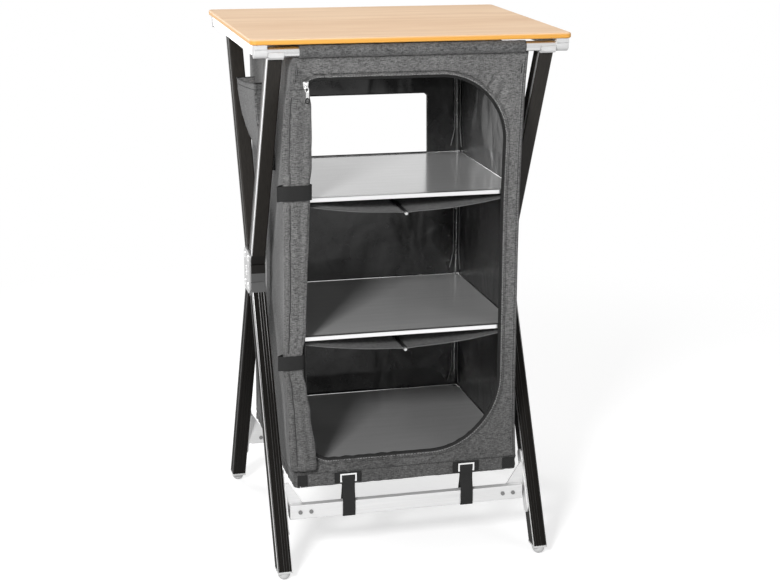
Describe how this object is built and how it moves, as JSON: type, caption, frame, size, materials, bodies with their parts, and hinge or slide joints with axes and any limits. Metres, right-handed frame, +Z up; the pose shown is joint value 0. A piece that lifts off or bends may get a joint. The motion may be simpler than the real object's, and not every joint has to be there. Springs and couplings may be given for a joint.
{
  "type": "folding camping cupboard",
  "caption": "Folding camping cupboard: bamboo worktop on a crossed tube frame, with a hanging cloth cabinet, shelf boards, zip door, rear window and side pockets.",
  "frame": {"origin": "on the ground, under the middle of the cupboard", "axes": "+Z up, -Y towards the door, +X to the right seen from the front"},
  "size_m": [0.611, 0.5734, 1.04],
  "materials": {
    "bamboo": "satin varnish",
    "bare_aluminium": "satin",
    "black_aluminium": "black anodised",
    "grey_plastic": "matte",
    "dark_grey_plastic": "matte",
    "black_plastic": "matte",
    "steel": "polished",
    "grey_cloth": "melange weave",
    "lining": "glossy coated",
    "board": "grey metallic foil",
    "webbing": "woven"
  },
  "bodies": {
    "hinges": {"hinge_plates": "steel", "hinge_blocks_upper": "black_plastic", "hinge_blocks_lower": "dark_grey_plastic", "hinge_pins": "steel"},
    "upper_front_frame": {"upper_front_leg_right": "black_aluminium", "upper_front_leg_left": "black_aluminium", "upper_front_knuckles": "black_plastic", "front_top_tube": "bare_aluminium", "front_tube_caps": "grey_plastic", "front_tube_saddles": "grey_plastic", "front_tube_sleeve": "grey_cloth"},
    "upper_back_frame": {"upper_back_leg_right": "black_aluminium", "upper_back_leg_left": "black_aluminium", "upper_back_knuckles": "black_plastic", "back_top_tube": "bare_aluminium", "back_tube_caps": "grey_plastic", "back_tube_saddles": "grey_plastic", "back_tube_sleeve": "grey_cloth"},
    "lower_front_frame": {"lower_front_leg_right": "black_aluminium", "lower_front_leg_left": "black_aluminium", "lower_front_knuckles": "black_plastic", "front_feet": "grey_plastic", "front_lower_bar": "bare_aluminium", "front_bar_brackets": "bare_aluminium", "front_bar_screws": "steel", "front_hem_straps": "webbing"},
    "lower_back_frame": {"lower_back_leg_right": "black_aluminium", "lower_back_leg_left": "black_aluminium", "lower_back_knuckles": "black_plastic", "back_feet": "grey_plastic", "back_lower_bar": "bare_aluminium", "back_bar_brackets": "bare_aluminium", "back_bar_screws": "steel", "back_hem_straps": "webbing"},
    "worktop": {"worktop_panel": "bamboo", "side_rails": "bare_aluminium", "rail_end_clips": "grey_plastic"},
    "cabinet": {"cabinet_walls": "grey_cloth", "cabinet_floor": "lining", "cabinet_roof": "lining", "cabinet_hem": "grey_cloth", "side_pockets": "grey_cloth", "shelf_slings": "lining"},
    "cabinet_front_panel": {"cabinet_front": "grey_cloth", "door_zip": "webbing", "rolled_door": "grey_cloth", "door_ties": "webbing", "front_strap_rings": "steel"},
    "cabinet_back_panel": {"cabinet_back": "lining", "back_strap_rings": "steel"},
    "zip_slider_body": {"zip_slider": "steel"},
    "zip_pull_body": {"zip_pull": "steel"},
    "top_shelf": {"shelf_top": "board", "shelf_top_trim": "bare_aluminium", "sling_rod_top": "grey_plastic"},
    "middle_shelf": {"shelf_middle": "board", "shelf_middle_trim": "bare_aluminium", "sling_rod_middle": "grey_plastic"},
    "bottom_shelf": {"shelf_bottom": "board", "shelf_bottom_trim": "bare_aluminium"}
  },
  "joints": [
    {"name": "frame_fold", "type": "hinge", "parent": "hinges", "child": "upper_front_frame", "pos_m": [0, -0.017, 0.577], "axis": [-1, 0, 0], "range_deg": [0, 25.4], "deforming": ["cabinet_walls", "cabinet_floor", "cabinet_roof", "cabinet_hem", "side_pockets", "shelf_slings"]},
    {"name": "upper_back_fold", "type": "hinge", "parent": "hinges", "child": "upper_back_frame", "pos_m": [0, 0.017, 0.577], "axis": [1, 0, 0], "range_deg": [0, 25.45]},
    {"name": "lower_front_fold", "type": "hinge", "parent": "hinges", "child": "lower_front_frame", "pos_m": [0, -0.017, 0.521], "axis": [1, 0, 0], "range_deg": [0, 26.05], "deforming": ["front_hem_straps"]},
    {"name": "lower_back_fold", "type": "hinge", "parent": "hinges", "child": "lower_back_frame", "pos_m": [0, 0.017, 0.521], "axis": [-1, 0, 0], "range_deg": [0, 26.05], "deforming": ["back_hem_straps"]},
    {"name": "worktop_lift", "type": "slide", "parent": "hinges", "child": "worktop", "axis": [0, 0, 1], "range_m": [0, 0.4453]},
    {"name": "cabinet_lift", "type": "slide", "parent": "hinges", "child": "cabinet", "axis": [0, 0, 1], "range_m": [0, 0.0555]},
    {"name": "front_panel_in", "type": "slide", "parent": "cabinet", "child": "cabinet_front_panel", "axis": [0, 1, 0], "range_m": [0, 0.201]},
    {"name": "back_panel_in", "type": "slide", "parent": "cabinet", "child": "cabinet_back_panel", "axis": [0, -1, 0], "range_m": [0, 0.201]},
    {"name": "zip_travel", "type": "slide", "parent": "cabinet_front_panel", "child": "zip_slider_body", "axis": [1, 0, 0], "range_m": [0, 0.24]},
    {"name": "zip_pull_swing", "type": "hinge", "parent": "zip_slider_body", "child": "zip_pull_body", "pos_m": [-0.198, -0.24025, 0.963], "axis": [-1, 0, 0], "range_deg": [0, 140]},
    {"name": "top_shelf_out", "type": "slide", "parent": "cabinet", "child": "top_shelf", "axis": [0, -1, 0], "range_m": [0, 0.4896], "deforming": ["cabinet_front", "rolled_door", "door_zip"]},
    {"name": "middle_shelf_out", "type": "slide", "parent": "cabinet", "child": "middle_shelf", "axis": [0, -1, 0], "range_m": [0, 0.4896], "deforming": ["cabinet_front", "rolled_door", "door_zip"]},
    {"name": "bottom_shelf_out", "type": "slide", "parent": "cabinet", "child": "bottom_shelf", "axis": [0, -1, 0], "range_m": [0, 0.4896], "deforming": ["cabinet_front", "rolled_door", "door_zip"]}
  ],
  "couplings": [
    {"joint": "upper_back_fold", "follows": "frame_fold", "ratio": 1},
    {"joint": "lower_front_fold", "follows": "frame_fold", "ratio": 1.0236},
    {"joint": "lower_back_fold", "follows": "frame_fold", "ratio": 1.0236},
    {"joint": "worktop_lift", "follows": "frame_fold", "m_per_rad": 1},
    {"joint": "cabinet_lift", "follows": "frame_fold", "m_per_rad": 0.1207},
    {"joint": "front_panel_in", "follows": "frame_fold", "m_per_rad": 0.4511},
    {"joint": "back_panel_in", "follows": "frame_fold", "m_per_rad": 0.4511},
    {"joint": "top_shelf_out", "follows": "frame_fold", "m_per_rad": 1.1},
    {"joint": "middle_shelf_out", "follows": "frame_fold", "m_per_rad": 1.1},
    {"joint": "bottom_shelf_out", "follows": "frame_fold", "m_per_rad": 1.1}
  ]
}
